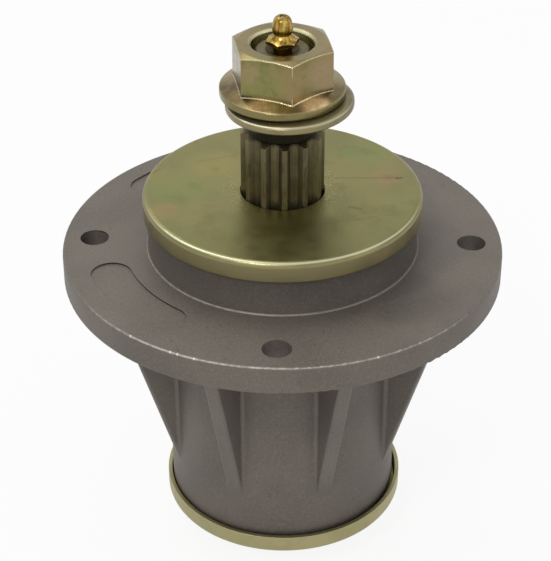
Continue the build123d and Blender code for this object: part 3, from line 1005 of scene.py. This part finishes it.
class SubAssembly(ABC):
    """A group of the spindle's pieces that are made and dressed together."""

    @abstractmethod
    def build(self) -> None:
        """Dresses the group's CAD nodes and builds its new pieces."""

    def dress(self, material: Finish, *nodes: str) -> None:
        """Gives CAD nodes a finish all over.

        Args:
            material: The finish.
            *nodes: The nodes' names.
        """
        for node in nodes:
            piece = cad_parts[node]
            if not piece.material_slots:
                piece.data.materials.append(material)
            for place in piece.material_slots:
                place.material = material
            LOG.info("dressed %s with %s", node, material.name)

    def add(self, piece: Piece, material: Finish, body: Body, slot: Slot) -> None:
        """Dresses a new piece and lets it ride on its body.

        Args:
            piece: The finished piece.
            material: Its finish.
            body: The body that it rides on.
            slot: The record's slot for its finish; not used.
        """
        piece.data.materials.clear()
        piece.data.materials.append(material)
        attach(piece, body.value)
        LOG.info("built %s, %d faces, on %s", piece.name, len(piece.data.polygons), body.value)


@dataclass
class Casting(SubAssembly):
    """The cast housing: flange, neck, barrel and gussets."""

    finish: CastAluminium = CastAluminium()

    def build(self) -> None:
        """Dresses the casting."""
        self.dress(self.finish.material(), "housing")


@dataclass
class Bearings(SubAssembly):
    """The two tapered roller bearings, the spacer between them and the seals outside them."""

    steel: GroundSteel = GroundSteel()
    rubber: SealRubber = SealRubber()
    ends: tuple[str, ...] = ("upper", "lower")
    rings: tuple[str, ...] = ("bearing_cup", "bearing_cone", "bearing_rollers", "bearing_cage",
                              "seal_case", "seal_spring", "wear_sleeve")

    def build(self) -> None:
        """Dresses both ends' bearings and seals."""
        steel = self.steel.material()
        rubber = self.rubber.material()
        for end in self.ends:
            self.dress(steel, *(f"{end}_{ring}" for ring in self.rings))
            self.dress(rubber, f"{end}_seal_lip")
        self.dress(steel, "bearing_spacer")


@dataclass
class Shaft(SubAssembly):
    """The splined and threaded shaft, with the turns of its threads that show."""

    finish: OiledSteel = OiledSteel()
    nut_thread_low: ThreadSize = ThreadSize("shaft_thread_low", 10.0, 10.55, 48.95, 50.65, 0.75,
                                            ThreadSide.OUTWARD)
    blade_thread: ThreadSize = ThreadSize("blade_bolt_thread", 7.25, 6.7, -113.0, -80.0, 1.5,
                                          ThreadSide.INWARD)

    def build(self) -> None:
        """Dresses the shaft and cuts its threads."""
        steel = self.finish.material()
        self.dress(steel, "spindle_shaft")
        for thread in (self.nut_thread_low, self.blade_thread):
            self.add(thread.build(), steel, Body.SPINDLE, Slot.DARK_STEEL)


@dataclass
class Shields(SubAssembly):
    """The two pressed and plated cups."""

    upper: ZincPlate = ZincPlate(
        "shield_zinc_plate", tint(132, 126, 81), tint(123, 121, 78), tint(104, 97, 63),
        edge=tint(208, 198, 146), roughness=0.38, edge_share=0.3, side=tint(150, 140, 106),
        # The bend's ring is a painted highlight.
        side_top=19.2, speckled_r=24.0, bend=Bend(45.72, 19.66, 0.45, 0.45),
        patches=(Patch((-34.0, 0.0, 20.0), 14.0, tint(120, 134, 78), 0.5),
                 Patch((-38.0, -15.0, 20.0), 7.0, tint(158, 126, 88), 0.5),
                 Patch((-24.0, 16.0, 20.0), 12.0, tint(150, 140, 84), 0.5),
                 Patch((27.6, 25.3, 20.0), 12.0, tint(116, 134, 80), 0.5),
                 Patch((35.0, 8.5, 20.0), 8.0, tint(150, 122, 88), 0.5),
                 Patch((38.0, -9.0, 20.0), 8.0, tint(128, 130, 84), 0.5)),
        scratches=(Scratch((17.4, 7.8, 20.0), (39.1, 8.4, 20.0), 0.45, 0.45),
                   Scratch((38.0, 8.2, 20.0), (39.6, 8.5, 20.0), 0.9, 0.7),
                   Scratch((22.0, -11.0, 20.0), (26.0, -12.2, 20.0), 0.7, 0.4),
                   Scratch((-46.0, 7.4, 20.0), (-41.5, 12.5, 20.0), 0.5, 0.35),
                   Scratch((-30.0, 17.5, 20.0), (-16.0, 22.7, 20.0), 0.35, 0.3),
                   Scratch((-6.0, -24.0, 20.0), (9.0, -26.5, 20.0), 0.3, 0.3),
                   Scratch((14.0, -22.0, 20.0), (31.0, -17.0, 20.0), 0.3, 0.3)))
    lower: ZincPlate = ZincPlate(
        "cup_zinc_plate", tint(164, 157, 118), tint(158, 151, 111), tint(144, 136, 100),
        edge=tint(214, 206, 168), roughness=0.44, edge_share=0.3)

    def build(self) -> None:
        """Dresses the cups."""
        self.dress(self.upper.material(), "top_shield")
        self.dress(self.lower.material(), "bottom_shield")


@dataclass(frozen=True)
class WasherSize:
    """The loose washer: its place under the nut, and an outer edge that is worn round."""

    outer_r: float = 20.85
    bore_r: float = 14.3
    thickness: float = 2.75
    crown_reach: float = 1.8
    crown_drop: float = 1.0
    foot_reach: float = 0.8
    foot_rise: float = 0.6
    bore_round: float = 0.3
    middle: Point = (2.340, -2.182, 53.712)
    tilt: float = 2.1
    steps: int = 128
    arc_steps: int = 8

    def arc(self, start: Pair, end: Pair) -> list[Pair]:
        """A quarter of an ellipse that leaves start level and reaches end upright.

        Args:
            start: The radius and height at which it leaves the flat face.
            end: The radius and height at which it meets the rim.

        Returns:
            The points between the two, and the end.
        """
        points = []
        for index in range(1, self.arc_steps + 1):
            turn = math.pi / 2 * index / self.arc_steps
            points.append((start[0] + (end[0] - start[0]) * math.sin(turn),
                           end[1] + (start[1] - end[1]) * math.cos(turn)))
        return points

    def build(self) -> Piece:
        """Turns the washer, tilts it and sets it off centre.

        Returns:
            The finished washer.
        """
        top = self.thickness / 2
        crown = (self.outer_r - self.crown_reach, top)
        foot = (self.outer_r - self.foot_reach, -top)
        points = [(self.bore_r, top - self.bore_round), (self.bore_r + self.bore_round, top), crown]
        points += self.arc(crown, (self.outer_r, top - self.crown_drop))
        points += list(reversed(self.arc(foot, (self.outer_r, self.foot_rise - top)))) + [foot]
        points += [(self.bore_r + self.bore_round, -top), (self.bore_r, self.bore_round - top)]
        piece = Bench.lathe(points, self.steps)
        turn = Matrix.Rotation(math.radians(-self.tilt), 4, "Y")
        piece.data.transform(Matrix.Translation(Vector(self.middle) * MM) @ turn)
        piece.name = "pulley_washer_rounded"
        return piece


@dataclass
class NutStack(SubAssembly):
    """The flange nut and the loose washer under it."""

    nut: ZincPlate = ZincPlate(
        "nut_zinc_plate", tint(140, 124, 86), tint(126, 116, 78), tint(98, 86, 56),
        edge=tint(248, 236, 200), bright=tint(222, 220, 178), roughness=0.24, film=CLOSE_FILM,
        # Crown edges get a near-white painted highlight; the bore's back wall gets painted light.
        edge_share=0.95, edge_reach=0.75, crown_bottom=70.5, bore_r=10.7, rim_r=20.4,
        patches=(Patch((-7.0, -13.5, 65.0), 12.0, tint(126, 128, 78), 0.85),
                 Patch((-10.0, -12.5, 68.5), 5.0, tint(156, 136, 104), 0.6),
                 Patch((14.0, -8.0, 66.0), 10.0, tint(154, 134, 104), 0.8),
                 Patch((8.0, -13.0, 63.0), 5.0, tint(124, 118, 80), 0.6),
                 Patch((-16.5, -2.0, 64.0), 6.0, tint(150, 132, 112), 0.6),
                 # Painted shade on the flange's skirt, left and right, then painted highlights on
                 # its front petals.
                 Patch((-16.0, -8.0, 58.8), 14.0, tint(90, 76, 50), 0.98, 60.6),
                 Patch((18.0, -7.0, 58.8), 10.0, tint(100, 86, 56), 0.95, 60.6),
                 Patch((-6.0, -16.4, 59.4), 6.0, tint(226, 188, 144), 0.9, 60.2),
                 Patch((10.4, -14.4, 59.4), 6.5, tint(240, 206, 158), 0.95, 60.2)),
        scratches=(Scratch((-9.0, -14.0, 66.0), (-6.5, -14.5, 64.0), 0.5, 0.6),
                   Scratch((-7.5, -14.2, 67.0), (-8.6, -14.0, 63.2), 0.35, 0.45),
                   Scratch((-4.0, -15.0, 63.5), (-2.5, -15.2, 65.5), 0.4, 0.5),
                   Scratch((5.0, -14.6, 67.5), (9.5, -12.4, 69.0), 0.35, 0.4)))
    washer: ZincPlate = ZincPlate(
        "washer_zinc_plate", tint(138, 127, 91), tint(128, 123, 88), tint(106, 95, 64),
        edge=tint(240, 230, 192), roughness=0.3, film=CLOSE_FILM, edge_share=0.5, metallic=0.72,
        # Painted highlight along the washer's rounded rim.
        bend=Bend(20.3, 54.6, 0.45, 0.3, (2.34, -2.18), 0.0366),
        # Painted shade under the nut's flange on the right.
        patches=(Patch((19.5, -3.5, 54.8), 12.0, tint(104, 93, 62), 0.85),))
    washer_size: WasherSize = WasherSize()

    def build(self) -> None:
        """Dresses the nut and makes the washer."""
        self.dress(self.nut.material(), "pulley_nut")
        plate = self.washer.material()
        self.dress(plate, "pulley_washer")
        washer = self.washer_size.build()
        self.add(washer, plate, Body.SPINDLE, Slot.ZINC)
        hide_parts("pulley_washer")


@dataclass(frozen=True)
class CoilSize:
    """The check ball's coil spring, which shortens as the ball is pushed in."""

    node: str = "grease_fitting_spring"
    joint: str = "check_ball_push"
    coil_r: float = 1.1
    wire_r: float = 0.16
    wire_sides: int = 10
    turns: int = 5
    steps: int = 32
    travel: float = 0.8

    def build(self) -> Piece:
        """Winds the coil where the solid one stands.

        Returns:
            The finished spring.
        """
        low, high = (corner.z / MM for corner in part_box(self.node))
        rise = high - low - 2 * self.wire_r
        points = []
        for index in range(self.wire_sides):
            turn = math.tau * index / self.wire_sides
            points.append((self.coil_r + self.wire_r * math.cos(turn),
                           low + self.wire_r * (1 + math.sin(turn))))
        piece = Bench.outline(points)
        Bench.screw(piece, rise / self.turns, self.turns, self.steps)
        Bench.close(piece)
        piece.name = "grease_fitting_coil"
        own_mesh(piece)
        return piece


@dataclass
class GreaseFitting(SubAssembly):
    """The brass grease fitting with its check ball and spring."""

    brass: Brass = Brass()
    steel: GroundSteel = GroundSteel()
    coil: CoilSize = CoilSize()
    thread: ThreadSize = ThreadSize("grease_fitting_thread", 3.1, 3.4, 71.9, 73.6, 0.7,
                                    ThreadSide.OUTWARD, steps=40)

    def build(self) -> None:
        """Dresses the fitting and cuts the thread that shows under its hexagon."""
        brass = self.brass.material()
        self.dress(brass, "grease_fitting")
        steel = self.steel.material()
        self.dress(steel, "grease_fitting_ball", self.coil.node)
        self.add(self.thread.build(), brass, Body.SPINDLE, Slot.BRASS)
        coil = self.coil.build()
        self.add(coil, steel, Body.SPINDLE, Slot.BEARING_STEEL)
        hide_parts(self.coil.node)


@dataclass(frozen=True)
class Lamp:
    """One square soft lamp aimed at the middle of the object, in metres and watts."""

    name: str
    place: Point
    size: float
    watts: float

    def hang(self) -> None:
        """Adds the lamp."""
        bpy.ops.object.light_add(type="AREA", location=self.place)
        lamp = bpy.context.object
        lamp.name = self.name
        lamp.data.size = self.size
        lamp.data.energy = self.watts
        lamp.rotation_mode = "QUATERNION"
        lamp.rotation_quaternion = (-Vector(self.place)).to_track_quat("-Z", "Y")


@dataclass
class Studio:
    """The pale floor, the soft lamps and the camera at the photograph's place."""

    floor_height: float
    image_size: tuple[int, int] = (551, 561)
    focal_px: float = 1825.892
    distance: float = 615.7
    elevation: float = 31.784
    azimuth: float = 1.56
    origin_px: Pair = (282.5, 240.233)
    sensor: float = 36.0
    clip_start: float = 0.01
    clip_end: float = 50.0
    floor_size: float = 12.0
    floor_color: Color = (0.86, 0.86, 0.85, 1.0)
    white: Color = (1.0, 1.0, 1.0, 1.0)
    white_light: float = 1.0
    room_light: float = 0.62
    shadow_share: float = 0.11
    lamps: tuple[Lamp, ...] = (
        Lamp("key_lamp", (-0.42, -1.0, 1.08), 0.35, 6.3),
        Lamp("fill_lamp", (1.1, -0.6, 0.7), 0.9, 1.6),
        Lamp("top_lamp", (-0.5, 0.4, 1.3), 1.0, 5.9),
    )

    def camera(self) -> None:
        """Sets the camera so that the flange's centre lands where the photograph has it."""
        turn, rise = math.radians(self.azimuth), math.radians(self.elevation)
        level = math.cos(rise)
        back = Vector((math.sin(turn) * level, -math.cos(turn) * level, math.sin(rise)))
        bpy.ops.object.camera_add(location=back * self.distance * MM)
        camera = bpy.context.object
        camera.name = "photo_camera"
        camera.rotation_mode = "QUATERNION"
        camera.rotation_quaternion = (-back).to_track_quat("-Z", "Y")
        width, height = self.image_size
        side = max(width, height)
        camera.data.sensor_width = self.sensor
        camera.data.lens = self.focal_px / side * self.sensor
        camera.data.shift_x = (width / 2 - self.origin_px[0]) / side
        camera.data.shift_y = (self.origin_px[1] - height / 2) / side
        camera.data.clip_start = self.clip_start
        camera.data.clip_end = self.clip_end
        bpy.context.scene.camera = camera

    def seen_white(self, graph: Graph) -> Socket:
        """A mask of the rays that see the stage as white: the camera's, mirrors' and glass's."""
        path = graph.add("ShaderNodeLightPath", {})
        return graph.union(path.outputs["Is Camera Ray"], path.outputs["Is Glossy Ray"],
                           path.outputs["Is Transmission Ray"])

    def floor(self) -> None:
        """Lays the pale floor, white to the camera but for a soft shadow."""
        bpy.ops.mesh.primitive_plane_add(size=self.floor_size, location=(0, 0, self.floor_height))
        floor = bpy.context.object
        floor.name = "floor"
        graph = Graph("pale_floor")
        pale = graph.add("ShaderNodeBsdfDiffuse", {"Color": self.floor_color})
        white = graph.add("ShaderNodeEmission", {
            "Color": self.white, "Strength": self.white_light})
        share = graph.math("MULTIPLY", self.seen_white(graph), 1.0 - self.shadow_share)
        mixed = graph.add("ShaderNodeMixShader", {
            0: share, 1: pale.outputs[0], 2: white.outputs[0]})
        graph.tree.links.new(mixed.outputs[0], graph.output.inputs[0])
        floor.data.materials.append(graph.material)

    def world(self) -> None:
        """Surrounds the object with soft light, seen as white by the camera, mirrors and glass."""
        world = bpy.data.worlds.new("soft_room")
        bpy.context.scene.world = world
        world.use_nodes = True
        tree = world.node_tree
        tree.nodes.clear()
        path = tree.nodes.new("ShaderNodeLightPath")
        level = path.outputs["Is Camera Ray"]
        for name in ("Is Glossy Ray", "Is Transmission Ray"):
            either = tree.nodes.new("ShaderNodeMath")
            either.operation = "MAXIMUM"
            tree.links.new(level, either.inputs[0])
            tree.links.new(path.outputs[name], either.inputs[1])
            level = either.outputs[0]
        strength = tree.nodes.new("ShaderNodeMapRange")
        strength.inputs[3].default_value = self.room_light
        strength.inputs[4].default_value = self.white_light
        tree.links.new(level, strength.inputs[0])
        back = tree.nodes.new("ShaderNodeBackground")
        back.inputs["Color"].default_value = self.white
        tree.links.new(strength.outputs[0], back.inputs["Strength"])
        output = tree.nodes.new("ShaderNodeOutputWorld")
        tree.links.new(back.outputs[0], output.inputs[0])

    def build(self) -> None:
        """Sets up the whole studio."""
        self.camera()
        self.floor()
        self.world()
        for lamp in self.lamps:
            lamp.hang()


def main() -> None:
    """Dresses the nodes, builds the new pieces and the studio."""
    logging.basicConfig(level=logging.INFO, format="%(name)s: %(message)s")
    for group in (Casting(), Bearings(), Shaft(), Shields(), NutStack(), GreaseFitting()):
        group.build()
    Studio(floor_height=CAD_BOX[0].z - FLOOR_GAP).build()
    bpy.context.scene.view_settings.view_transform = "Standard"


if __name__ == "__main__":
    main()
